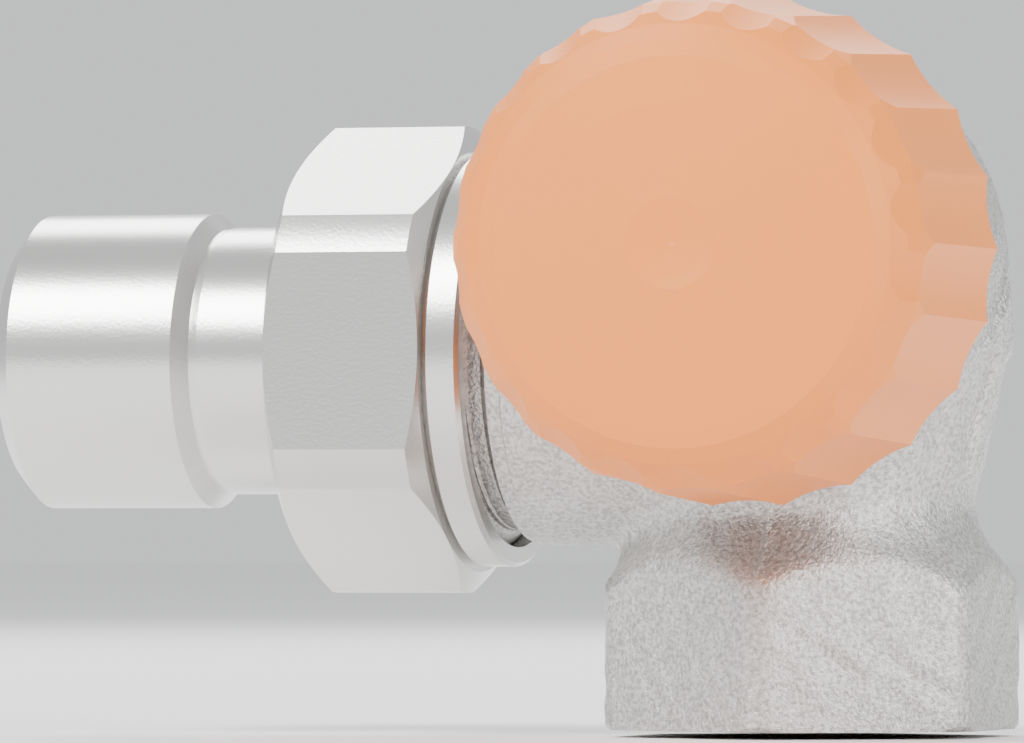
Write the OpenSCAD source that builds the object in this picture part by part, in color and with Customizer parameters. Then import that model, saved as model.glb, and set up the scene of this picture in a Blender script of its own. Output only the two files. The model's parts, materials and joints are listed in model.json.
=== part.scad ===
// Angled radiator valve, DN15, with a built-in flow limiter.
// Origin: centre of the inlet socket mouth. +Z runs up the socket, the union tail points to -X,
// and the valve head points to -Y. All sizes are millimetres.

/* [Layout] */
// Height of the outlet axis above the socket mouth
outlet_h = 26; // [25:0.5:31]
// Height of the valve head axis above the outlet axis
head_rise = 7; // [5:0.5:8]
// Distance from the socket axis to the end of the union tail
tail_reach = 57.5; // [52:0.5:70]

/* [Inlet socket] */
// Core diameter of the Rp1/2 inlet thread
inlet_d = 18.632; // [16:0.001:22]
// Depth of the inlet thread
inlet_depth = 13.5; // [11:0.5:14.5]
// Diameter of the waterway above the inlet thread
waterway_d = 15.2; // [12:0.1:15.6]
// Wall of the cast hexagon, from the thread's core to a flat
socket_wall = 3.884; // [3:0.01:5]
// How much is turned off the hexagon across its corners
socket_corner_cut = 0.784; // [0:0.01:1.5]
// Height of the hexagon at its corners
socket_h = 10.3; // [8:0.1:12]
// Wall of the waist above the hexagon, from the thread's core
waist_wall = 1.834; // [1.4:0.01:3]

/* [Casting] */
// Wall of the barrel round the bonnet thread
barrel_wall = 2.4; // [2:0.1:3]
// How far the barrel reaches behind the outlet axis
barrel_back = 11; // [10.5:0.5:14]
// Wall of the neck, from the bonnet thread to the crests of the M30 head thread
neck_wall = 3; // [2.6:0.1:4]
// Length of the head thread
head_thread_l = 8; // [6:0.5:10]
// How much less the cast boss measures across than the union thread
boss_step = 0.24; // [0:0.02:1]
// How much more the elbow measures across than the boss
elbow_swell = 0.7; // [0.4:0.1:2]

/* [Seat] */
// Distance of the seat land in front of the outlet axis
seat_y = 2.2; // [1.6:0.1:2.6]
// Bore of the seat
seat_d = 11; // [9:0.1:13.2]
// Width of the seat land
seat_land = 1; // [0.6:0.1:1.4]
// Lift of the disc when the valve is fully open
lift = 3; // [1.5:0.1:3.6]

/* [Union] */
// Major diameter of the R1/2 tail thread
tail_thread_d = 20.956; // [20:0.001:25.2]
// Length of the tail thread
tail_thread_l = 13.5; // [12:0.1:16]
// Bore of the tail
tail_bore_d = 13; // [11:0.1:14]
// Step down from the tail thread to the plain shank
shank_step = 0.978; // [0.5:0.001:1.5]
// Step up from the tail thread to the G3/4 union thread
union_step = 2.742; // [2:0.001:4]
// Length of the union thread on the boss
union_thread_l = 8; // [7:0.1:9]
// Wall of the union nut at its flats
nut_flat_wall = 1.78; // [1.5:0.01:5]
// How much is turned off the nut across its corners
nut_corner_cut = 1.641; // [0:0.001:2]
// Length of the hexagon of the nut
nut_hex_l = 11.3; // [9:0.1:13]
// Wall of the round collar of the nut
nut_collar_wall = 1.43; // [1:0.01:1.7]
// Length of the round collar
nut_collar_l = 2.6; // [2:0.1:4]
// Angle at which the nut was left, in degrees
nut_stop = 1.5; // [0:0.5:59]

/* [Cap] */
// Wall of the cap at its rim, from the head thread to the ridges between the flutes
cap_wall = 2.6; // [2.2:0.1:4]
// Length of the fluted skirt
cap_skirt_l = 12.2; // [11:0.1:13]
// Height of the domed front above the skirt
cap_dome_h = 7.2; // [6.8:0.1:8]
// Number of flutes
cap_flutes = 22; // [16:1:28]
// Depth of a flute
cap_flute_depth = 0.52; // [0.3:0.02:0.6]
// Draft of the skirt in degrees
cap_draft = 3.05; // [1:0.05:3.4]

/* [Insert] */
// How far the disc reaches past the seat land
disc_cover = 0.43; // [0.2:0.01:1]
// Wall of the limiter piston
piston_wall = 0.95; // [0.8:0.05:1.2]
// Wall of the setting sleeve round the piston
sleeve_wall = 0.9; // [0.8:0.05:1]
// Wall of the flow cage
cage_wall = 1; // [0.8:0.05:1.1]
// Shoulder between the chamber and the bonnet thread
bonnet_shoulder = 1.2; // [0.8:0.1:2]
// Diameter of the spindle pin
pin_d = 3; // [2.4:0.1:3.6]
// Diameter of the stem
stem_d = 4.4; // [4:0.1:5.3]
// Travel of the limiter piston
piston_travel = 1.5; // [1:0.1:1.8]
// Angle of the outlet window and of the setting range
window_angle = 160; // [120:1:190]

/* [Clearances] */
// Radial clearance of a part that turns or slides on another
run = 0.06; // [0.02:0.01:0.09]
// Gap between faces that meet but don't bear on each other
gap = 0.1; // [0.05:0.01:0.2]

/* [Hidden] */
$fn = 96;
e = 0.01;

head_h = outlet_h + head_rise;

// Insert across the head axis, from the disc outwards to the threads
disc_room = 0.6;
cage_room = 0.3;
carrier_r = seat_d / 2 + seat_land + disc_cover;
piston_bore_r = carrier_r + disc_room;
piston_r = piston_bore_r + piston_wall;
cup_bore_r = piston_r + run;
cup_r = cup_bore_r + sleeve_wall;
cage_r = cup_r + run + cage_wall;
chamber_r = cage_r + cage_room;
bonnet_thread_r = chamber_r + bonnet_shoulder;
barrel_r = bonnet_thread_r + barrel_wall;
head_thread_r = bonnet_thread_r + neck_wall;
cap_r = head_thread_r + cap_wall;
neck_sleeve_r = 7.55;
sleeve_bore_r = 5;
stem_r = stem_d / 2;
pin_r = pin_d / 2;
screw_r = 1.4;

// Thicknesses of the pieces that lie one before the other on the head axis
seat_h = 1;
partition_t = 2.5;
chamber_l = 14.2;
disc_t = 1.8;
carrier_t = 1.4;
piston_plate_t = 1;
web_t = 4.4;
cup_roof = 0.5;
washer_t = 0.7;
clip_t = 0.5;
gland_l = 4.2;
gland_head_t = 1.35;
bonnet_head_t = 1.2;
clip_groove_t = 0.7;
ring_t = 2;

// Room between them: before the piston, for the packed spring, before the gland, round the
// sleeve's front, for the setting ring, and for the pin past its stroke
piston_room = 0.6;
spring_packed = 2.4;
gland_room = 0.8;
neck_cover = 0.4;
neck_recess = 4;
pin_reserve = 0.55;

// Distances along the head axis, counted forwards from the outlet axis
floor_y = seat_y - seat_h;
partition_y = floor_y - partition_t;
chamber_top = floor_y + chamber_l;
disc_y = seat_y + lift;
carrier_top = disc_y + disc_t + carrier_t;
piston_plate = carrier_top + piston_room;
web_y = piston_plate + piston_plate_t + piston_travel + gap;
web_top = web_y + web_t;
cup_top = web_y + cup_roof;
bonnet_y = cup_top + gap;
spring_l = lift + spring_packed;
washer_y = web_top + spring_l;
gland_y = washer_y + washer_t + clip_t + gland_room;
sleeve_top = gland_y + gland_l;
neck_front = sleeve_top + neck_cover;
head_thread_start = neck_front - head_thread_l;
bonnet_step = neck_front - neck_recess;
pin_tip = sleeve_top + gland_head_t + lift + pin_reserve;
bonnet_top = bonnet_step + bonnet_head_t;
clip_y = bonnet_top + gap;
ring_y = clip_y + clip_groove_t;

// Middles of the seal grooves along the head axis, and the depth of the grooves
bonnet_seal_y = bonnet_y + 1.55;
sleeve_seal_y = bonnet_y + 6.3;
stem_seal_y = web_y + 3.15;
pin_seal_y = gland_y + 1.4;
gland_seal_y = gland_y + 3.25;
seal_depth = 1.55;
gland_seal_depth = 0.8;

// Hollow in the sleeve's web for the limiter spring, and the floor of the other spring
spring_pocket = 1.8;
spring_slack = 0.02;

// Clip that stops the limiter piston
limiter_clip_y = floor_y + 1.7;
limiter_clip_t = 0.7;

// Inlet socket and waist
socket_af = inlet_d + 2 * socket_wall;
socket_corner_r = (socket_af / cos(30) - socket_corner_cut) / 2;
waist_r = inlet_d / 2 + waist_wall;

// Union across the outlet axis
tail_r = tail_thread_d / 2;
union_r = tail_r + union_step;
boss_r = union_r - boss_step / 2;
elbow_r = boss_r + elbow_swell / 2;
nut_af = 2 * (union_r + nut_flat_wall);
nut_corner_r = (nut_af / cos(30) - nut_corner_cut) / 2;
nut_collar_r = union_r + nut_collar_wall;
nut_bore_r = tail_r + 0.17;
outlet_bore_r = 7.5;
outlet_floor = chamber_r - 1.2;
seat_cone_r = union_r - 2.92;

// Distances along the outlet axis, counted from the socket axis
boss_ring = 19;
boss_ring_l = 1.2;
groove_l = 1.8;
union_thread_start = boss_ring + boss_ring_l + groove_l;
boss_end = union_thread_start + union_thread_l + 0.4;
collar_start = union_thread_start - 0.5;
nut_hex_start = collar_start + nut_collar_l + 0.2;
nut_end = nut_hex_start + nut_hex_l;
nut_wall = 2.6;
flange_end = nut_end - nut_wall - gap;
flange_t = 1.8;
flange_y = flange_end - flange_t;
thread_start = tail_reach - tail_thread_l;

// Places the children on the head axis, with their z running forwards to -Y.
module on_head() {
    translate([0, 0, head_h]) rotate([90, 0, 0]) children();
}

// Places the children on the outlet axis, with their z running out to -X.
module on_outlet() {
    translate([0, 0, outlet_h]) rotate([0, -90, 0]) children();
}

// A ring or tube of rectangular section from z0 to z1.
module tube(r_out, r_in, z0, z1) {
    rotate_extrude() translate([r_in, z0]) square([r_out - r_in, z1 - z0]);
}

// A plain rod from z0 to z1.
module rod(r, z0, z1) {
    translate([0, 0, z0]) cylinder(r = r, h = z1 - z0);
}

// An O-ring that fills the groove from r_in to r_out, less a hair each side.
module o_ring(r_in, r_out, z) {
    section = (r_out - r_in) / 2 - 0.04;
    rotate_extrude() translate([(r_in + r_out) / 2, z]) circle(r = section, $fn = 48);
}

// The room for an O-ring's groove, with a little play along the axis.
module seal_groove(r_in, r_out, z) {
    half = (r_out - r_in) / 2 + 0.1;
    tube(r_out, r_in, z - half, z + half);
}

// A flat ring with a piece cut out of it, as a snap ring has.
module snap_ring(r_out, r_in, z0, z1, opening) {
    rotate([0, 0, opening / 2])
        rotate_extrude(angle = 360 - opening)
            translate([r_in, z0]) square([r_out - r_in, z1 - z0]);
}

// A hexagon prism whose corners are turned to corner_d and chamfered at the ends.
module turned_hexagon(af, corner_d, z0, z1, chamfer0, chamfer1) {
    slope = tan(30);
    intersection() {
        translate([0, 0, z0]) cylinder(d = af / cos(30), h = z1 - z0, $fn = 6);
        rotate_extrude() polygon([
            [0, z0], [corner_d / 2 - chamfer0, z0], [corner_d / 2, z0 + chamfer0 * slope],
            [corner_d / 2, z1 - chamfer1 * slope], [corner_d / 2 - chamfer1, z1], [0, z1]
        ]);
    }
}

// One ring of points of a coil's wire, at the angle a round the coil.
function wire_ring(a, mean_r, wire_r, z, sides) = [
    for (k = [0 : sides - 1])
        let (b = 360 * k / sides, r = mean_r + wire_r * cos(b))
        [r * cos(a), r * sin(a), z + wire_r * sin(b)]
];

// A compression spring between z0 and z1, as a wire swept along a helix.
module coil_spring(mean_r, wire_r, z0, z1, turns) {
    sides = 8;
    per_turn = 24;
    steps = round(turns * per_turn);
    rise = z1 - z0 - 2 * wire_r;
    points = [
        for (i = [0 : steps])
            each wire_ring(360 * i / per_turn, mean_r, wire_r, z0 + wire_r + rise * i / steps, sides)
    ];
    walls = [
        for (i = [0 : steps - 1], k = [0 : sides - 1])
            let (n = (k + 1) % sides)
            [i * sides + k, i * sides + n, (i + 1) * sides + n, (i + 1) * sides + k]
    ];
    start = [for (k = [sides - 1 : -1 : 0]) k];
    finish = [for (k = [0 : sides - 1]) steps * sides + k];
    polyhedron(points = points, faces = concat(walls, [start, finish]), convexity = 8);
}

// Casting

// Half outline of the barrel with its rounded back, its neck and the M30 thread as its outside.
module barrel_outline() {
    thread_r = head_thread_r;
    round_y = 15;
    round_r = 11;
    undercut_r = thread_r - 1.1;
    back = [
        for (a = [-90 : 10 : 0])
            [barrel_r - round_r + round_r * cos(a), round_y * sin(a) - (barrel_back - round_y)]
    ];
    front = [
        [barrel_r, head_thread_start - 3.8], [undercut_r, head_thread_start - 2.2],
        [undercut_r, head_thread_start - 0.8], [thread_r, head_thread_start],
        [thread_r, neck_front - 0.8], [thread_r - 0.8, neck_front], [0, neck_front]
    ];
    polygon(concat([[0, -barrel_back]], back, front));
}

// The waist and the elbow, which swell upwards from the hexagon and close in a dome.
module waist_outline() {
    start = socket_h + 3.7;
    side = [
        for (t = [0 : 0.125 : 1])
            [waist_r + (elbow_r - waist_r) * (1 - cos(180 * t)) / 2, start + (outlet_h - start) * t]
    ];
    dome = [for (a = [15 : 15 : 90]) [elbow_r * cos(a), outlet_h + elbow_r * sin(a)]];
    polygon(concat([[0, 1], [waist_r, 1]], side, dome));
}

// The hexagon with its conical top.
module socket_hexagon() {
    corner_r = socket_corner_r;
    top_r = waist_r - 0.8;
    top = socket_h + corner_r - top_r;
    intersection() {
        rotate([0, 0, 30]) cylinder(d = socket_af / cos(30), h = top, $fn = 6);
        rotate_extrude() polygon([
            [0, 0], [corner_r - 0.5, 0], [corner_r, 0.3], [corner_r, socket_h],
            [top_r, top], [0, top]
        ]);
    }
}

// The outlet boss with its machined ring, the groove and the union thread as its outside.
module boss_outline() {
    root_r = elbow_r - 0.5;
    ring_r = boss_r - 0.2;
    groove_r = union_r - 1.25;
    polygon([
        [0, 0], [root_r, 0], [root_r, 6], [boss_r, boss_ring],
        [ring_r, boss_ring], [ring_r, boss_ring + boss_ring_l],
        [groove_r, boss_ring + boss_ring_l + 0.4], [groove_r, union_thread_start - 0.5],
        [union_r, union_thread_start + 0.5], [union_r, boss_end - 0.8],
        [union_r - 0.8, boss_end], [0, boss_end]
    ]);
}

// Chamber, bonnet thread and recess on the head axis, round the raised seat.
module head_cavity() {
    difference() {
        rod(chamber_r, floor_y, chamber_top + e);
        tube(seat_d / 2 + seat_land, seat_d / 2, floor_y - e, seat_y);
    }
    rod(bonnet_thread_r, chamber_top, bonnet_step + e);
    rod(bonnet_thread_r + 0.6, bonnet_step, neck_front + 1);
    rod(seat_d / 2, partition_y - 1, floor_y + e);
}

// The space behind the seat, which the duct from the inlet fills.
module rear_chamber() {
    r = 8;
    depth = barrel_back - 2.5 + partition_y;
    rotate_extrude() polygon([
        [0, partition_y], [r, partition_y], [r, partition_y - depth + 2],
        [r - 2, partition_y - depth], [0, partition_y - depth]
    ]);
}

// The inlet thread and the duct that leads up behind the seat.
module inlet_cavity() {
    duct_wall = -partition_y;
    rod(inlet_d / 2, -1, inlet_depth);
    rod(waterway_d / 2, inlet_depth - e, max(inlet_depth + 1, outlet_h - outlet_bore_r - 2));
    intersection() {
        rod(waterway_d / 2, inlet_depth, head_h - 3);
        translate([-waterway_d, duct_wall - e, 0]) cube([2 * waterway_d, waterway_d, head_h]);
    }
}

// The outlet bore, its cone for the union tail, and its opening into the chamber.
module outlet_cavity() {
    on_outlet() {
        rod(outlet_bore_r, outlet_floor, boss_end + 1);
        translate([0, 0, boss_end - 4])
            cylinder(r1 = seat_cone_r - 4 * tan(30), r2 = seat_cone_r, h = 4);
        rod(seat_cone_r, boss_end - e, boss_end + 1);
    }
    intersection() {
        on_outlet() rod(outlet_bore_r, 4, outlet_floor + 1);
        translate([-chamber_r - 2, -10 - floor_y, 0]) cube([chamber_r + 2, 10, head_h + 10]);
    }
}

module valve_body() {
    color("silver") difference() {
        union() {
            socket_hexagon();
            rotate_extrude() waist_outline();
            on_outlet() rotate_extrude() boss_outline();
            on_head() rotate_extrude() barrel_outline();
        }
        on_head() head_cavity();
        on_head() rear_chamber();
        inlet_cavity();
        outlet_cavity();
    }
}

// Union

module union_nut() {
    chamfer = 1.5;
    recess_r = union_r - 0.9;
    color("lightgray") on_outlet() difference() {
        union() {
            rotate([0, 0, nut_stop])
                turned_hexagon(nut_af, 2 * nut_corner_r, nut_hex_start, nut_end, chamfer, chamfer);
            rotate_extrude() polygon([
                [0, collar_start], [nut_collar_r - 0.3, collar_start],
                [nut_collar_r, collar_start + 0.3], [nut_collar_r, nut_hex_start - 0.5],
                [nut_collar_r - 0.6, nut_hex_start], [nut_collar_r - 0.6, nut_hex_start + 1],
                [0, nut_hex_start + 1]
            ]);
        }
        rod(union_r + run, collar_start - 1, boss_end + 0.3);
        rod(recess_r, boss_end, nut_end - nut_wall);
        rod(nut_bore_r, flange_y, nut_end + 1);
    }
}

module union_tail() {
    thread_r = tail_r;
    bore_r = tail_bore_d / 2;
    guide_r = nut_bore_r - run;
    shank_r = tail_r - shank_step;
    nose_y = boss_end - 3.2;
    nose_r = seat_cone_r - 3.2 * tan(30) - gap;
    lug_w = 2.4;
    lug_h = 1;
    color("lightgray") on_outlet() {
        rotate_extrude() polygon([
            [bore_r, nose_y], [nose_r, nose_y], [seat_cone_r - gap, boss_end],
            [seat_cone_r - gap, flange_y], [union_r - 1.4, flange_y],
            [union_r - 1.4, flange_end], [guide_r, flange_end], [guide_r, nut_end - 0.5],
            [shank_r, nut_end + 0.4], [shank_r, thread_start - 1.6], [thread_r - 1.1, thread_start - 1],
            [thread_r, thread_start], [thread_r, tail_reach - 1.3],
            [thread_r - 1.5, tail_reach], [bore_r + 0.5, tail_reach], [bore_r, tail_reach - 0.5]
        ]);
        for (side = [0, 180]) rotate([0, 0, side]) intersection() {
            translate([bore_r - lug_h, -lug_w / 2, tail_reach - 16]) cube([lug_h + 0.6, lug_w, 14]);
            rod(bore_r + 0.4, tail_reach - 17, tail_reach);
        }
    }
}

// Cap

cap_front = pin_tip + 3.55;
cap_rim = cap_front - cap_dome_h - cap_skirt_l;
cap_bore_r = head_thread_r + run;

// Shoulder between skirt and dome: an arc this wide and high, and the crown of the dome above
shoulder_w = 4.4;
crown_h = 0.8;
shoulder_h = cap_dome_h - crown_h;
shoulder_y = cap_rim + cap_skirt_l;
shoulder_r = cap_r - cap_skirt_l * tan(cap_draft);

// Shallow dimple in the middle of the front
dimple_r = 3.1;
dimple_depth = 0.3;

// Outside of the cap before its flutes are cut, from the rim to the domed front.
module cap_outline() {
    shoulder = [
        for (a = [0 : 15 : 90])
            [shoulder_r - shoulder_w * (1 - cos(a)), shoulder_y + shoulder_h * sin(a)]
    ];
    dome_r = shoulder_r - shoulder_w;
    dome = [for (r = [0.75 * dome_r, 0.5 * dome_r, dimple_r]) [r, crown_y(r, dome_r)]];
    dimple = [
        for (t = [0.75 : -0.25 : 0])
            [dimple_r * t, crown_y(dimple_r, dome_r) - dimple_depth * (1 - t * t)]
    ];
    polygon(concat([[0, cap_rim], [cap_r, cap_rim]], shoulder, dome, dimple));
}

// Height of the crowned front at the radius r.
function crown_y(r, dome_r) = shoulder_y + shoulder_h + crown_h * (1 - pow(r / dome_r, 2));

// One flute: a cylinder that follows the draft of the skirt, and a slimmer one that leans in
// over the shoulder, where the flute fades out.
module cap_flute() {
    half = cap_r * sin(180 / cap_flutes);
    sag = cap_flute_depth - cap_r * (1 - cos(180 / cap_flutes));
    flute_r = (half * half + sag * sag) / (2 * sag);
    fade_angle = 38;
    fade_r = 0.79 * flute_r;
    lean = atan(sin(fade_angle) * shoulder_w / (cos(fade_angle) * shoulder_h));
    translate([cap_r - cap_flute_depth + flute_r, 0, cap_rim])
        rotate([0, -cap_draft, 0]) cylinder(r = flute_r, h = 60, center = true);
    translate([shoulder_r - shoulder_w * (1 - cos(fade_angle)), 0,
               shoulder_y + shoulder_h * sin(fade_angle)])
        rotate([0, -lean, 0]) translate([fade_r - 0.6 * cap_flute_depth, 0, 0])
            cylinder(r = fade_r, h = 16, center = true);
}

module protective_cap() {
    top_wall = 1.9;
    push_r = 4;
    entry_r = cap_bore_r + 0.8;
    roof = cap_front - top_wall;
    color("darkorange") on_head() {
        difference() {
            rotate_extrude() cap_outline();
            for (i = [0 : cap_flutes - 1]) rotate([0, 0, (i + 0.5) * 360 / cap_flutes]) cap_flute();
            rotate_extrude() polygon([
                [0, cap_rim - 1], [entry_r, cap_rim - 1], [entry_r, cap_rim + 3.4],
                [cap_bore_r, cap_rim + 4.2], [cap_bore_r, roof - 3.4], [cap_bore_r - 2.3, roof],
                [0, roof]
            ]);
        }
        rod(push_r, pin_tip + gap, roof + 0.5);
    }
}

// Insert: fixed parts

module insert_body() {
    thread_r = bonnet_thread_r - run;
    color("goldenrod") on_head() difference() {
        union() {
            rod(chamber_r - 0.08, bonnet_y, chamber_top + 0.3);
            rod(thread_r, chamber_top + 0.2, bonnet_step);
            rod(bonnet_thread_r + 0.4, bonnet_step + 0.02, bonnet_top);
            rod(bonnet_thread_r - 0.5, bonnet_step - 0.1, bonnet_step + 0.1);
        }
        seal_groove(chamber_r - seal_depth, chamber_r, bonnet_seal_y);
        rod(neck_sleeve_r + run, bonnet_y - 1, bonnet_top + 1);
        for (a = [0 : 90 : 270]) rotate([0, 0, a])
            translate([bonnet_thread_r - 0.4, -1, bonnet_step + 0.4]) cube([3, 2, 3]);
    }
}

module insert_seal() {
    color("dimgray") on_head() o_ring(chamber_r - seal_depth, chamber_r, bonnet_seal_y);
}

// Angle round the head axis at which the outlet lies
outlet_angle = 200;

// Cuts a window of the given angle, which leaves a rib at each end of its bays.
module window_cut(r_out, r_in, y0, y1, angle, bays) {
    rib = 4;
    bay = (angle - rib * (bays - 1)) / bays;
    for (i = [0 : bays - 1])
        rotate([0, 0, outlet_angle - angle / 2 + i * (bay + rib)])
            rotate_extrude(angle = bay)
                translate([r_in, y0]) square([r_out - r_in, y1 - y0]);
}

module flow_cage() {
    y0 = floor_y + gap;
    y1 = bonnet_y - gap;
    color("whitesmoke") on_head() difference() {
        union() {
            tube(cage_r, cage_r - cage_wall, y0, y1);
            tube(cage_r - cage_wall + 0.2, seat_d / 2 + seat_land + 0.7, y0, y0 + 0.8);
        }
        window_cut(cage_r + 1, cage_r - cage_wall - 1, y0 + 2.3, y1 - 2.6, window_angle, 3);
    }
}

// Insert: parts that turn with the setting

module setting_sleeve() {
    y0 = limiter_clip_y - 0.5;
    port_y = floor_y + 3.3;
    color("khaki") on_head() difference() {
        union() {
            rod(cup_r, y0, cup_top);
            rod(neck_sleeve_r, cup_top - e, sleeve_top);
        }
        rod(cup_bore_r, y0 - 1, web_y);
        rod(stem_r + 2.8, web_y - e, web_y + spring_pocket);
        rod(stem_r + run, web_y, web_top + 1);
        seal_groove(stem_r - run, stem_r + seal_depth, stem_seal_y);
        rod(sleeve_bore_r, web_top, sleeve_top + 1);
        tube(cup_bore_r + 0.35, cup_bore_r - 1, limiter_clip_y, limiter_clip_y + limiter_clip_t);
        seal_groove(neck_sleeve_r - seal_depth, neck_sleeve_r + run, sleeve_seal_y);
        tube(neck_sleeve_r + 1, neck_sleeve_r - 0.6, clip_y - 0.05, clip_y + 0.65);
        window_cut(cup_r + 1, cup_bore_r - 1, port_y, port_y + 3.5, window_angle, 1);
    }
}

module sleeve_seal() {
    color("dimgray") on_head() o_ring(neck_sleeve_r - seal_depth, neck_sleeve_r + run, sleeve_seal_y);
}

module sleeve_clip() {
    color("gainsboro") on_head()
        snap_ring(neck_sleeve_r + 1.1, neck_sleeve_r - 0.55, clip_y, clip_y + 0.6, 30);
}

module setting_ring() {
    ring_r = bonnet_thread_r - 0.2;
    color("white") on_head() difference() {
        tube(ring_r, neck_sleeve_r + 0.03, ring_y, ring_y + ring_t);
        for (a = [0 : 45 : 315]) rotate([0, 0, a + 22.5])
            translate([ring_r - 0.8, -0.7, ring_y + 0.6]) cube([2, 1.4, ring_t]);
    }
}

module gland_nut() {
    body_r = sleeve_bore_r - 0.03;
    gland_head_r = 5.2;
    color("goldenrod") on_head() difference() {
        union() {
            rod(body_r, gland_y, sleeve_top);
            translate([0, 0, sleeve_top]) cylinder(r = gland_head_r, h = gland_head_t, $fn = 6);
        }
        rod(pin_r + run, gland_y - 1, sleeve_top + gland_head_t + 1);
        seal_groove(pin_r - run, pin_r + seal_depth, pin_seal_y);
        seal_groove(sleeve_bore_r - gland_seal_depth, sleeve_bore_r, gland_seal_y);
    }
}

module gland_outer_seal() {
    color("dimgray") on_head() o_ring(sleeve_bore_r - gland_seal_depth, sleeve_bore_r, gland_seal_y);
}

module gland_pin_seal() {
    color("dimgray") on_head() o_ring(pin_r, pin_r + seal_depth, pin_seal_y);
}

module stem_seal() {
    color("dimgray") on_head() o_ring(stem_r, stem_r + seal_depth, stem_seal_y);
}

module limiter_clip() {
    play = 0.03;
    color("gainsboro") on_head()
        snap_ring(cup_bore_r + 0.3, piston_bore_r + 0.2,
                  limiter_clip_y + play, limiter_clip_y + limiter_clip_t - play, 40);
}

// Insert: parts that slide with the pin

stem_top = web_top + lift + 0.5;

module spindle_pin() {
    seat_depth = 2.5;
    clip_at = washer_y + washer_t;
    color("silver") on_head() difference() {
        rotate_extrude() polygon([
            [0, stem_top - seat_depth], [pin_r, stem_top - seat_depth], [pin_r, pin_tip - 0.5],
            [pin_r - 0.4, pin_tip], [0, pin_tip]
        ]);
        tube(pin_r + 1, pin_r - 0.4, clip_at, clip_at + clip_t);
    }
}

module pin_washer() {
    color("gainsboro") on_head()
        tube(sleeve_bore_r - 0.4, pin_r + 0.02, washer_y, washer_y + washer_t);
}

module pin_clip() {
    y0 = washer_y + washer_t;
    color("gainsboro") on_head() snap_ring(pin_r + 1.2, pin_r - 0.38, y0 + 0.02, y0 + clip_t - 0.02, 90);
}

module return_spring() {
    color("silver") on_head() coil_spring(3.6, 0.3, web_top + spring_slack, washer_y - spring_slack, 3.5);
}

module stem() {
    color("goldenrod") on_head() difference() {
        rod(stem_r, carrier_top, stem_top);
        rod(pin_r + 0.02, stem_top - 2.5, stem_top + 1);
        rod(screw_r + 0.02, carrier_top - 1, carrier_top + 3);
    }
}

module disc_carrier() {
    lip = 0.35;
    color("goldenrod") on_head() difference() {
        rod(carrier_r, disc_y + disc_t - 1, carrier_top);
        rod(carrier_r - lip, disc_y, disc_y + disc_t);
        rod(screw_r + 0.03, disc_y, carrier_top + 1);
    }
}

module valve_disc() {
    color("dimgray") on_head() tube(carrier_r - 0.38, screw_r + 0.03, disc_y, disc_y + disc_t);
}

module disc_screw() {
    head_r = 2.6;
    color("goldenrod") on_head() {
        rod(screw_r, disc_y - e, carrier_top + 2.8);
        difference() {
            rod(head_r, disc_y - 1, disc_y);
            translate([-head_r, -0.3, disc_y - 1.5]) cube([2 * head_r, 0.6, 1]);
        }
    }
}

// Insert: flow limiter

module limiter_piston() {
    y0 = limiter_clip_y + limiter_clip_t + gap;
    color("lightgray") on_head() difference() {
        rod(piston_r, y0, piston_plate + piston_plate_t);
        rod(piston_bore_r, y0 - 1, piston_plate);
        rod(stem_r + 0.3, piston_plate - 1, piston_plate + 2);
        for (i = [0 : 5]) rotate([0, 0, outlet_angle + i * 60])
            translate([piston_bore_r - 1, -2.6, y0 + 1.3]) cube([3, 5.2, 3]);
    }
}

module limiter_spring() {
    start = piston_plate + piston_plate_t + spring_slack;
    color("silver") on_head()
        coil_spring(stem_r + 1.9, 0.25, start, web_y + spring_pocket - spring_slack, 3);
}

valve_body();
union_nut();
union_tail();
protective_cap();
insert_body();
insert_seal();
flow_cage();
setting_sleeve();
sleeve_seal();
sleeve_clip();
setting_ring();
gland_nut();
gland_outer_seal();
gland_pin_seal();
spindle_pin();
pin_washer();
pin_clip();
return_spring();
stem();
stem_seal();
disc_carrier();
valve_disc();
disc_screw();
limiter_piston();
limiter_spring();
limiter_clip();
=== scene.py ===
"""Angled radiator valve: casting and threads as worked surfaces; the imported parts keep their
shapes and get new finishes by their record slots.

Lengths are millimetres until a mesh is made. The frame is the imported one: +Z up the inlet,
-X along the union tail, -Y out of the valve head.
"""
import json
import math
import bpy
import numpy as np
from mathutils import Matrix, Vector


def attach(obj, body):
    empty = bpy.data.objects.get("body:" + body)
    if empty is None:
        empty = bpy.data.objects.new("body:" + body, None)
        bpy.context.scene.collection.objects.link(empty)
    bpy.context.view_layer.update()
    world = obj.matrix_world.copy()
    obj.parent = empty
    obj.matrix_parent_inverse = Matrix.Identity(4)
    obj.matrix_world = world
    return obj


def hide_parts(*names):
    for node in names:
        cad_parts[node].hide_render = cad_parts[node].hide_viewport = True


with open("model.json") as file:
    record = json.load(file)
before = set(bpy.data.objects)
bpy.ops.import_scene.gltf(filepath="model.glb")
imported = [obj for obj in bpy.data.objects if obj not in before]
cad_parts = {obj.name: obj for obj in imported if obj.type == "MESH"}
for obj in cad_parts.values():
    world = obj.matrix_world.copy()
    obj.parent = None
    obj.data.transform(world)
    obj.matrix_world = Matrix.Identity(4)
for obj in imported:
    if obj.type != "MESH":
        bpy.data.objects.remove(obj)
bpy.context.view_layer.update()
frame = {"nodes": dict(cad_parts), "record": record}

MM = 0.001
TAU = 2 * math.pi

# Heights of the two axes, and the places of the pieces along them
OUTLET_H = 26.0
HEAD_H = 33.0
BOSS_RING = 19.0
BOSS_END = 30.4
UNION_R = 13.22
PIPE_PITCH = 1.814
NECK_START = 20.0
NECK_FRONT = 28.0
HEAD_R = 15.0
HEAD_PITCH = 1.5
INLET_R = 9.316
INLET_DEPTH = 13.5


# Places of shapes

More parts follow.
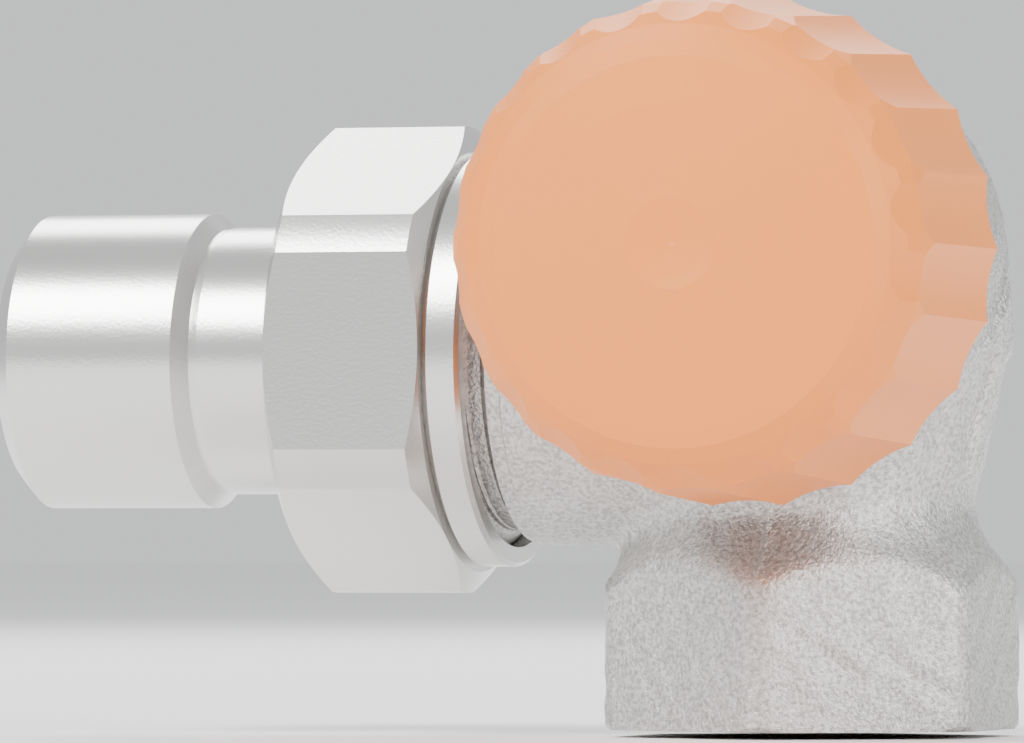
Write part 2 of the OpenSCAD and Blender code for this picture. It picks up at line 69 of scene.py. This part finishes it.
def on_outlet(r, angle, t):
    """Cylinder coordinates on the outlet axis: t runs out to -X, the angle turns from +Z to +Y."""
    return np.stack([-t + 0 * r, r * np.sin(angle), OUTLET_H + r * np.cos(angle)], axis=-1)


def on_head(r, angle, t):
    """Cylinder coordinates on the head axis: t runs out to -Y, the angle turns from +X to +Z."""
    return np.stack([r * np.cos(angle), -t + 0 * r, HEAD_H + r * np.sin(angle)], axis=-1)


def on_inlet(r, angle, t):
    """Cylinder coordinates on the inlet axis: t runs up +Z, the angle turns from +X to +Y."""
    return np.stack([r * np.cos(angle), r * np.sin(angle), t + 0 * r], axis=-1)


def smooth_step(x):
    """0 below 0, 1 above 1, and 3x^2 - 2x^3 between."""
    x = np.clip(x, 0, 1)
    return x * x * (3 - 2 * x)


# Meshes

def grid_faces(rows, cols, start=0):
    """Quads between the rows and columns of a grid of points numbered row by row."""
    i, j = np.meshgrid(np.arange(rows - 1), np.arange(cols - 1), indexing="ij")
    a = start + i * cols + j
    return np.stack([a, a + 1, a + cols + 1, a + cols], axis=-1).reshape(-1, 4)


def make_mesh(name, grids, crease=32, merge=2e-6):
    """One mesh from grids of points (rows, cols, 3) in mm: seams and poles are merged."""
    points, faces, start = [], [], 0
    for grid in grids:
        rows, cols = grid.shape[:2]
        faces.append(grid_faces(rows, cols, start))
        points.append(grid.reshape(-1, 3))
        start += rows * cols
    points = np.concatenate(points) * MM
    faces = np.concatenate(faces)
    mesh = bpy.data.meshes.new(name)
    mesh.vertices.add(len(points))
    mesh.vertices.foreach_set("co", points.astype(np.float32).ravel())
    mesh.loops.add(faces.size)
    mesh.loops.foreach_set("vertex_index", faces.astype(np.int32).ravel())
    mesh.polygons.add(len(faces))
    mesh.polygons.foreach_set("loop_start", np.arange(0, faces.size, 4, dtype=np.int32))
    mesh.update(calc_edges=True)
    tidy_mesh(mesh, merge)
    finish_shading(mesh, crease)
    return mesh


def tidy_mesh(mesh, merge):
    """Merges points that coincide, drops faces without area and turns all faces outwards."""
    import bmesh
    bm = bmesh.new()
    bm.from_mesh(mesh)
    bmesh.ops.remove_doubles(bm, verts=bm.verts, dist=merge)
    bmesh.ops.dissolve_degenerate(bm, edges=bm.edges, dist=merge / 2)
    bmesh.ops.recalc_face_normals(bm, faces=bm.faces)
    bm.to_mesh(mesh)
    bm.free()
    mesh.validate()


def finish_shading(mesh, crease):
    """Smooth shading with a sharp edge wherever two faces meet at more than the crease angle."""
    mesh.shade_smooth()
    mesh.set_sharp_from_angle(angle=math.radians(crease))


def add_piece(name, mesh, body, material, replaces=()):
    """An object at the origin that rides on a body and takes the given material if its mesh has
    none.
    """
    piece = bpy.data.objects.new(name, mesh)
    bpy.context.scene.collection.objects.link(piece)
    if not mesh.materials:
        mesh.materials.append(material)
    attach(piece, body)
    if replaces:
        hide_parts(*replaces)
    return piece


def ring(place, cols, r, t):
    """A circle of points of radius r at the distance t along an axis."""
    angle = np.linspace(0, TAU, cols + 1)
    return place(np.full(cols + 1, float(r)), angle, np.full(cols + 1, float(t)))


def turned(place, profile, cols=240):
    """A profile of (radius, distance) pairs turned round an axis, each corner its own row."""
    return np.stack([ring(place, cols, r, t) for r, t in profile])


def thread_rows(place, height, start, end, pitch, phase=0.0, per_turn=12, cols=240):
    """A thread on rows that climb one pitch a turn, held between its two end circles.

    height(u, t, angle) gives the radius, where u runs from 0 to 1 over one pitch.
    """
    angle = np.linspace(0, TAU, cols + 1)[None, :]
    first = -per_turn
    last = int(math.ceil((end - start) / pitch * per_turn)) + 1
    step = np.arange(first, last)[:, None]
    t = np.clip(start + pitch * (step / per_turn + angle / TAU), start, end)
    u = np.mod(t / pitch - angle / TAU + phase, 1)
    return place(height(u, t, angle), angle + 0 * t, t)


def vee(u, flat):
    """Height of a thread over one pitch: 1 on the crest, 0 on the root, each with a small flat."""
    away = np.abs(np.mod(u + 0.5, 1) - 0.5) * 2
    return np.clip((1 - away - flat) / (1 - 2 * flat), 0, 1)


# Casting

def smooth_min(a, b, k):
    """The smaller of two distances, with a fillet of about the size k where they meet."""
    h = np.clip(1 - np.abs(a - b) / k, 0, 1)
    return np.minimum(a, b) - h * h * k / 4


def smooth_max(a, b, k):
    """The larger of two distances, with a rounding of about the size k where they meet."""
    return -smooth_min(-a, -b, k)


def waist_radius(z):
    """Radius of the waist over the hexagon: 11.15 at the neck, swelling to 13.45 at the elbow."""
    t = np.clip((z - 14.5) / 13.5, 0, 1)
    return 11.15 + 2.3 * (1 - (1 - t) ** 2) ** 1.5


def hexagon_distance(x, y):
    """Distance outside a hexagon through the origin, one of whose flats faces +X."""
    half = np.radians(np.array([0, 60, 120]))
    return np.max(np.abs(x[..., None] * np.cos(half) + y[..., None] * np.sin(half)), axis=-1)


def arrow_relief(y, z):
    """1 inside a plain arrow that points up the side of the elbow, 0 outside, soft at its rim."""
    y = y + 1.5
    shaft = np.maximum(np.abs(y) - 0.9, np.abs(z - 22.0) - 4.5)
    head = np.maximum(np.abs(y) * 0.8 + (z - 31.5) * 0.6, 26.0 - z)
    return 1 - smooth_step(np.minimum(shaft, head) / 0.5 + 0.5)


def casting_distance(p):
    """About the distance outside the casting: column, hexagon, boss and barrel with fillets."""
    x, y, z = p[..., 0], p[..., 1], p[..., 2]
    rho = np.hypot(x, y)
    dome = np.sqrt(rho ** 2 + np.maximum(z - OUTLET_H, 0) ** 2)
    column = dome - waist_radius(z)
    boss = np.maximum(np.hypot(y, z - OUTLET_H) - 13.0 - 0.006 * (-x), x - 4)
    over = np.maximum(np.hypot(x, z - HEAD_H) - 3.4, 0) / 11
    back = np.maximum(y + 4, 0) / 15
    barrel = (np.hypot(over, back) - 1) * 11
    hexagon = hexagon_distance(x, y) - 13.2
    cone = (rho + z - 25.15) / math.sqrt(2)
    chamfer = (rho - 14.35) * 0.514 - z * 0.857
    socket = smooth_max(smooth_max(hexagon, rho - 14.85, 0.2), cone, 0.7)
    socket = np.maximum(socket, chamfer)
    body = smooth_min(column, boss, 3.5)
    body = smooth_min(body, barrel, 3.0)
    body = smooth_min(body, socket, 2.2)
    seam = np.exp(-(x / 0.22) ** 2) * smooth_step(-y) * smooth_step((26 - z) / 4)
    seam = seam * smooth_step((z - 9) / 2)
    arrow = arrow_relief(y, z) * smooth_step((x - 6) / 3)
    return body - 0.14 * seam - 0.4 * arrow


def cast_waves(p):
    """Low waves of a sand-cast skin, as a few sines across each other."""
    x, y, z = p[..., 0], p[..., 1], p[..., 2]
    wave = np.sin(0.9 * x + 1.7 * y + 0.6 * z) + np.sin(1.3 * z - 1.1 * y + 2.0 * x + 1)
    return wave + 0.7 * np.sin(2.7 * x + 2.1 * z - 1.9 * y + 2) + 0.6 * np.sin(3.3 * y + 2.9 * z)


def solve_rays(origin, direction):
    """The first point outwards along each ray where the casting ends."""
    distance = np.zeros(direction.shape[:-1] + (1,))
    for _ in range(70):
        gap = casting_distance(origin + direction * distance)[..., None]
        distance = distance - 0.85 * gap
    return origin + direction * distance


def unit(v):
    return v / np.linalg.norm(v, axis=-1, keepdims=True)


CORE = np.array([0.0, 0.0, 27.0])
SIDE = 60
WARP = np.tan(np.linspace(-math.pi / 4, math.pi / 4, SIDE + 1))


def core_face(axis, sign):
    """Directions from the core over one side of a cube, at even angles."""
    a, b = np.meshgrid(WARP, WARP, indexing="ij")
    parts = [a, b]
    parts.insert(axis, np.full_like(a, float(sign)))
    return unit(np.stack(parts, axis=-1))


def arm(axis, first, second, end, rows, ease=1.0):
    """Rays that start on the rim of a cube side and turn square to the arm's axis at its end."""
    angle = np.linspace(0, TAU, 4 * SIDE + 1)
    c, s = np.cos(angle), np.sin(angle)
    scale = np.maximum(np.abs(c), np.abs(s))
    across = c[:, None] * first + s[:, None] * second
    rim = unit(across / scale[:, None] + axis)
    share = np.linspace(0, 1, rows)[:, None, None] ** ease
    direction = unit(rim * (1 - share) + across * share)
    origin = CORE * (1 - share) + end * share
    return origin + 0 * direction, direction


X, Y, Z = np.eye(3)


def cast_grid(origin, direction):
    """Points of the casting's skin along rays, with its waves away from the machined ends."""
    p = solve_rays(origin, direction)
    calm = smooth_step((p[..., 0] + 18.6) / 2) * smooth_step((p[..., 1] + 15.8) / 2)
    calm = calm * smooth_step((p[..., 2] - 0.4) / 1.5)
    return p + direction * (0.035 * cast_waves(p) * calm)[..., None]


def casting_grids():
    """The closed outside of the casting: three core sides, three arms and their turned ends."""
    grids = []
    for axis, sign in ((0, 1), (1, 1), (2, 1)):
        direction = core_face(axis, sign)
        grids.append(cast_grid(CORE + 0 * direction, direction))
    boss = cast_grid(*arm(-X, Z, Y, np.array([-BOSS_RING, 0, OUTLET_H]), 34))
    barrel = cast_grid(*arm(-Y, X, Z, np.array([0, -16.2, HEAD_H]), 30))
    socket = cast_grid(*arm(-Z, X, Y, np.array([0, 0, 0.0]), 74, 0.8))
    cols = 4 * SIDE
    groove_r = UNION_R - 1.25

    def union_height(u, t, angle):
        return np.minimum(UNION_R - 1.162 * (1 - vee(u, 0.13)),
                          np.minimum(groove_r + (t - 21.6) * 1.1, UNION_R - (t - BOSS_END + 1.0)))

    boss_end = [
        ring(on_outlet, cols, 13.0, BOSS_RING), ring(on_outlet, cols, 12.82, 19.05),
        ring(on_outlet, cols, 12.9, 19.12), ring(on_outlet, cols, 12.9, 20.1),
        ring(on_outlet, cols, 12.78, 20.2), ring(on_outlet, cols, groove_r + 0.1, 20.55),
        ring(on_outlet, cols, groove_r, 20.7)
    ]
    union_thread = thread_rows(on_outlet, union_height, 21.6, BOSS_END, PIPE_PITCH)
    boss_cap = np.stack([union_thread[-1], ring(on_outlet, cols, 0, BOSS_END)])
    boss_rows = np.concatenate([boss, np.stack(boss_end), union_thread, boss_cap])

    def neck_height(u, t, angle):
        return np.minimum(HEAD_R - 0.92 * (1 - vee(u, 0.1)),
                          np.minimum(13.9 + (t - 19.3) * 1.1, HEAD_R - (t - NECK_FRONT + 0.9)))

    neck = [ring(on_head, cols, 13.9, 17.8), ring(on_head, cols, 13.9, 19.0)]
    neck_thread = thread_rows(on_head, neck_height, 19.3, NECK_FRONT, HEAD_PITCH)
    neck_cap = np.stack([neck_thread[-1], ring(on_head, cols, 0, NECK_FRONT)])
    barrel_rows = np.concatenate([barrel, np.stack(neck), neck_thread, neck_cap])
    socket_cap = np.stack([socket[-1], ring(on_inlet, cols, 0, 0)])
    grids += [boss_rows, barrel_rows, np.concatenate([socket, socket_cap])]
    return grids


def cutter(name, grids):
    """A closed solid that is cut out of the casting."""
    piece = bpy.data.objects.new(name, make_mesh(name, grids))
    bpy.context.scene.collection.objects.link(piece)
    return piece


def inlet_height(u, t, angle):
    """Inside thread of the socket, with a chamfer at its mouth."""
    thread = INLET_R + 1.162 * vee(u, 0.13) * smooth_step((INLET_DEPTH - t) / 1.8)
    return np.maximum(thread, INLET_R + 0.9 - t)


def casting_cutters():
    """The cavities: socket thread and duct, chamber and seat, bonnet thread, outlet bore."""
    mouth = ring(on_inlet, 180, 0, -1)
    thread = thread_rows(on_inlet, inlet_height, -0.6, INLET_DEPTH, PIPE_PITCH, cols=180)
    rest = turned(on_inlet, [(7.6, INLET_DEPTH), (7.6, 16.5), (0, 16.5)], 180)
    inlet = cutter("cut_inlet", [np.concatenate([np.stack([mouth]), thread, rest])])
    angle = np.linspace(math.asin(1.31 / 7.6), math.pi - math.asin(1.31 / 7.6), 49)
    wall = np.stack([7.6 * np.cos(angle), 7.6 * np.sin(angle)], axis=-1)
    chord = np.stack([wall[::-1, 0], np.full(49, 1.31)], axis=-1)
    rim = np.concatenate([wall, chord[1:]])
    low = np.concatenate([rim, np.full((len(rim), 1), 13.0)], axis=1)
    high = np.concatenate([rim, np.full((len(rim), 1), 30.0)], axis=1)
    centre = rim.mean(axis=0)
    foot = np.tile(np.array([centre[0], centre[1], 13.0]), (len(rim), 1))
    roof = np.tile(np.array([centre[0], centre[1], 30.0]), (len(rim), 1))
    duct = cutter("cut_duct", [np.stack([foot, low, high, roof])])
    rear = cutter("cut_rear", [turned(on_head, [
        (0, -8.5), (6, -8.5), (8, -6.5), (8, -1.3), (5.5, -1.3), (5.5, 2.2), (6.5, 2.2), (6.5, 1.2),
        (10.8, 1.2), (10.8, 15.4), (12, 15.4), (12, 24), (12.6, 24), (12.6, 29), (0, 29)
    ], 120)])
    outlet = cutter("cut_outlet", [turned(on_outlet, [
        (0, 3.5), (7.5, 3.5), (7.5, 26.4), (7.99, 26.4), (10.3, 30.4), (10.3, 31.4), (0, 31.4)
    ], 120)])
    return [inlet, duct, rear, outlet]


def cut(piece, cutters):
    """Cuts the solids out of the piece for good."""
    for tool in cutters:
        step = piece.modifiers.new(tool.name, "BOOLEAN")
        step.operation = "DIFFERENCE"
        step.object = tool
        step.solver = "EXACT"
    graph = bpy.context.evaluated_depsgraph_get()
    mesh = bpy.data.meshes.new_from_object(piece.evaluated_get(graph))
    piece.modifiers.clear()
    piece.data = mesh
    for tool in cutters:
        bpy.data.objects.remove(tool)
    return mesh


# Camera, light and floor

def point_camera():
    """Long lens 700 mm away, 17 degrees to the right of the head axis, a little from below."""
    azimuth, elevation = math.radians(17.0), math.radians(-1.0)
    back = Vector((math.sin(azimuth) * math.cos(elevation), -math.cos(azimuth) * math.cos(elevation),
                   math.sin(elevation)))
    data = bpy.data.cameras.new("camera")
    data.lens = 348.2
    data.sensor_width = 36
    data.clip_start = 0.05
    data.clip_end = 50
    camera = bpy.data.objects.new("camera", data)
    bpy.context.scene.collection.objects.link(camera)
    camera.location = Vector((-0.022, 0, 0.02515)) + back * 0.7
    camera.rotation_mode = "QUATERNION"
    camera.rotation_quaternion = (-back).to_track_quat("-Z", "Y")
    bpy.context.scene.camera = camera


def area_light(name, place, target, size, power, colour=(1, 1, 1)):
    """A soft rectangular lamp at a place, turned to its target."""
    data = bpy.data.lights.new(name, "AREA")
    data.shape = "RECTANGLE"
    data.size, data.size_y = size
    data.energy = power
    data.color = colour
    lamp = bpy.data.objects.new(name, data)
    bpy.context.scene.collection.objects.link(lamp)
    lamp.location = place
    lamp.rotation_mode = "QUATERNION"
    lamp.rotation_quaternion = (Vector(target) - Vector(place)).to_track_quat("-Z", "Y")


def studio():
    """A pale floor, a pale surround and three soft lamps."""
    world = bpy.data.worlds.new("surround")
    world.use_nodes = True
    world.node_tree.nodes["Background"].inputs[0].default_value = (0.93, 0.94, 0.96, 1)
    world.node_tree.nodes["Background"].inputs[1].default_value = 0.9
    bpy.context.scene.world = world
    mesh = bpy.data.meshes.new("floor")
    mesh.from_pydata([(-6, -6, 0), (6, -6, 0), (6, 6, 0), (-6, 6, 0)], [], [(0, 1, 2, 3)])
    floor = bpy.data.objects.new("floor", mesh)
    floor.location = (0, 0, -0.0005)
    bpy.context.scene.collection.objects.link(floor)
    paint = bpy.data.materials.new("floor_paint")
    paint.use_nodes = True
    shader = paint.node_tree.nodes["Principled BSDF"]
    shader.inputs["Base Color"].default_value = (0.93, 0.93, 0.93, 1)
    shader.inputs["Roughness"].default_value = 0.9
    mesh.materials.append(paint)
    area_light("key", (-0.45, -0.7, 0.75), (0, 0, 0.03), (0.5, 0.5), 14)
    area_light("fill", (0.7, -0.4, 0.35), (0, 0, 0.03), (0.4, 0.6), 5)
    area_light("rim", (-0.2, 0.6, 0.6), (0, 0, 0.03), (0.6, 0.4), 6)


# Materials

class Finish:
    """A node material built step by step round one Principled shader."""

    def __init__(self, name, colour, metallic, roughness):
        self.material = bpy.data.materials.new(name)
        self.material.use_nodes = True
        self.nodes = self.material.node_tree.nodes
        self.links = self.material.node_tree.links
        self.shader = self.nodes["Principled BSDF"]
        self.shader.inputs["Base Color"].default_value = (*colour, 1)
        self.shader.inputs["Metallic"].default_value = metallic
        self.shader.inputs["Roughness"].default_value = roughness
        self.coord = self.nodes.new("ShaderNodeTexCoord").outputs["Object"]
        self.last_bump = None

    def link(self, out, socket):
        self.links.new(out, socket)

    def noise(self, per_mm, detail=3.0, rough=0.55, stretch=(1, 1, 1), kind="Fac"):
        """Noise with about per_mm grains to the millimetre."""
        place = self.nodes.new("ShaderNodeMapping")
        place.inputs["Scale"].default_value = [1000 * per_mm * s for s in stretch]
        self.link(self.coord, place.inputs["Vector"])
        node = self.nodes.new("ShaderNodeTexNoise")
        node.inputs["Scale"].default_value = 1
        node.inputs["Detail"].default_value = detail
        node.inputs["Roughness"].default_value = rough
        self.link(place.outputs[0], node.inputs["Vector"])
        return node.outputs[kind]

    def remap(self, value, low, high, to_low, to_high):
        node = self.nodes.new("ShaderNodeMapRange")
        for i, number in enumerate((low, high, to_low, to_high)):
            node.inputs[1 + i].default_value = number
        self.link(value, node.inputs[0])
        return node.outputs[0]

    def math(self, kind, a, b):
        node = self.nodes.new("ShaderNodeMath")
        node.operation = kind
        for i, value in enumerate((a, b)):
            if isinstance(value, (int, float)):
                node.inputs[i].default_value = value
            else:
                self.link(value, node.inputs[i])
        return node.outputs[0]

    def ramp(self, value, stops):
        node = self.nodes.new("ShaderNodeValToRGB")
        while len(node.color_ramp.elements) < len(stops):
            node.color_ramp.elements.new(0.5)
        for element, (place, colour) in zip(node.color_ramp.elements, stops):
            element.position = place
            element.color = (*colour, 1)
        self.link(value, node.inputs[0])
        return node.outputs[0]

    def bump(self, height, depth_mm, strength=1.0):
        """Adds a bump whose full height is depth_mm."""
        node = self.nodes.new("ShaderNodeBump")
        node.inputs["Strength"].default_value = strength
        node.inputs["Distance"].default_value = depth_mm * MM
        self.link(height, node.inputs["Height"])
        if self.last_bump is not None:
            self.link(self.last_bump, node.inputs["Normal"])
        self.last_bump = node.outputs[0]
        self.link(self.last_bump, self.shader.inputs["Normal"])


def cast_nickel():
    """Nickel plate over a sand-cast skin: grey, grainy, with darker pits."""
    f = Finish("cast_nickel", (0.6, 0.59, 0.57), 1.0, 0.42)
    grain = f.noise(3.2, 3, 0.6)
    pits = f.noise(6.5, 2, 0.5)
    f.link(f.ramp(grain, [(0.35, (0.42, 0.41, 0.4)), (0.6, (0.72, 0.71, 0.69))]),
           f.shader.inputs["Base Color"])
    f.link(f.remap(pits, 0.3, 0.7, 0.34, 0.55), f.shader.inputs["Roughness"])
    f.bump(grain, 0.12)
    f.bump(pits, 0.05)
    return f.material


def turned_bronze():
    """Bare gunmetal cut on the lathe: warm, with fine tool marks."""
    f = Finish("turned_bronze", (0.62, 0.42, 0.22), 1.0, 0.3)
    mottle = f.noise(0.6, 3, 0.6)
    f.link(f.ramp(mottle, [(0.3, (0.42, 0.29, 0.15)), (0.7, (0.72, 0.52, 0.3))]),
           f.shader.inputs["Base Color"])
    f.bump(f.noise(5.0, 2, 0.5), 0.015)
    return f.material


# The pieces

def plain(name, colour, metallic, roughness):
    f = Finish(name, colour, metallic, roughness)
    f.bump(f.noise(4.0, 2, 0.5), 0.01)
    return f.material


point_camera()
studio()

nickel = cast_nickel()
bronze = turned_bronze()
casting_mesh = make_mesh("casting", casting_grids())
casting_mesh.materials.append(nickel)
casting_mesh.materials.append(bronze)
casting = add_piece("casting", casting_mesh, "body", nickel, ["valve_body"])
tools = casting_cutters()
for tool in tools:
    tool.data.materials.append(bronze)
cut(casting, tools)
finish_shading(casting.data, 32)
print("casting faces", len(casting.data.polygons))

look = {
    "nickel_plate": plain("nickel_plate", (0.72, 0.71, 0.69), 1.0, 0.25),
    "orange_plastic": plain("orange_plastic", (0.93, 0.26, 0.03), 0.0, 0.45),
    "bare_brass": plain("bare_brass", (0.78, 0.6, 0.3), 1.0, 0.3),
    "black_rubber": plain("black_rubber", (0.03, 0.03, 0.03), 0.0, 0.5),
    "spring_steel": plain("spring_steel", (0.62, 0.62, 0.62), 1.0, 0.25),
    "grey_plastic": plain("grey_plastic", (0.35, 0.35, 0.35), 0.0, 0.5),
    "white_plastic": plain("white_plastic", (0.85, 0.85, 0.83), 0.0, 0.5),
}
for part in frame["record"]["subparts"]:
    node = part["node"]
    if part["material_slot"] in look:
        piece = frame["nodes"][node]
        piece.data.materials.clear()
        piece.data.materials.append(look[part["material_slot"]])
